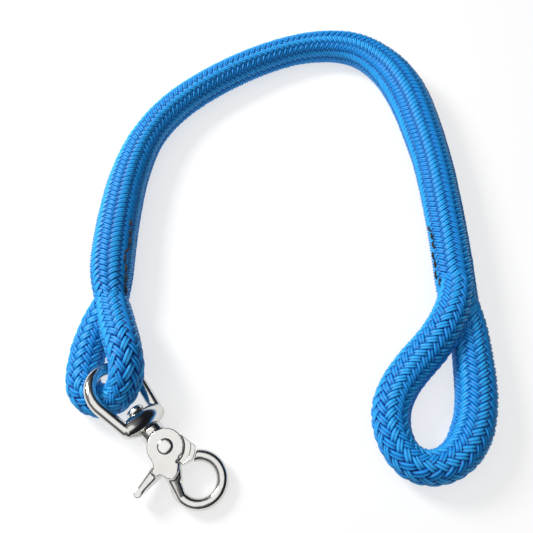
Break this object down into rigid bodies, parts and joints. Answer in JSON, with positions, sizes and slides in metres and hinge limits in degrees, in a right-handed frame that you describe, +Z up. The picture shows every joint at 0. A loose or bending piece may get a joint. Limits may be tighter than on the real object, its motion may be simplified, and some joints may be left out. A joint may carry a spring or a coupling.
{
  "type": "rope lead with swivel trigger snap",
  "caption": "Short double-braid rope lead with a spliced hand loop at one end and a swivel trigger snap in a spliced eye at the other.",
  "frame": {"origin": "centre of the lead's footprint, on the surface it lies on", "axes": "+Z up from that surface; +Y from the two eyes towards the bend of the rope; +X from the snap towards the hand loop"},
  "size_m": [0.1547, 0.2252, 0.0223],
  "materials": {
    "rope_cover": "silky braided polyester",
    "rope_core": "matte braided core",
    "stitching": "waxed thread",
    "snap_steel": "polished cast stainless steel",
    "spring_steel": "drawn wire"
  },
  "bodies": {
    "rope": {"standing_cover": "rope_cover", "standing_core": "rope_core", "splice_cover_a": "rope_cover", "splice_core_a": "rope_core", "buried_tail_a": "rope_cover", "splice_cover_b": "rope_cover", "splice_core_b": "rope_core", "buried_tail_b": "rope_cover", "lock_stitches_a": "stitching", "lock_stitches_b": "stitching", "snap_eye_cover": "rope_cover", "snap_eye_core": "rope_core", "hand_loop_cover": "rope_cover", "hand_loop_core": "rope_core"},
    "bail": {"snap_bail": "snap_steel"},
    "snap": {"snap_body": "snap_steel", "swivel_pin": "snap_steel", "torsion_spring": "spring_steel"},
    "hook": {"hook_lever": "snap_steel", "pivot_rivet": "snap_steel"}
  },
  "joints": [
    {"name": "bail_swing", "type": "hinge", "parent": "rope", "child": "bail", "pos_m": [-0.0573, -0.07538, 0.01039], "axis": [-0.4829, -0.284, -0.8284], "range_deg": [0, 15]},
    {"name": "swivel", "type": "hinge", "parent": "bail", "child": "snap", "pos_m": [-0.0398, -0.0935, 0.0064], "axis": [0.6861, -0.7105, -0.1564], "continuous": true},
    {"name": "hook_hinge", "type": "hinge", "parent": "snap", "child": "hook", "pos_m": [-0.0398, -0.0935, 0.0064], "axis": [-0.1087, 0.1125, -0.9877], "range_deg": [0, 35], "stiffness_Nm_per_rad": 0.05, "springref_deg": -28.65}
  ]
}
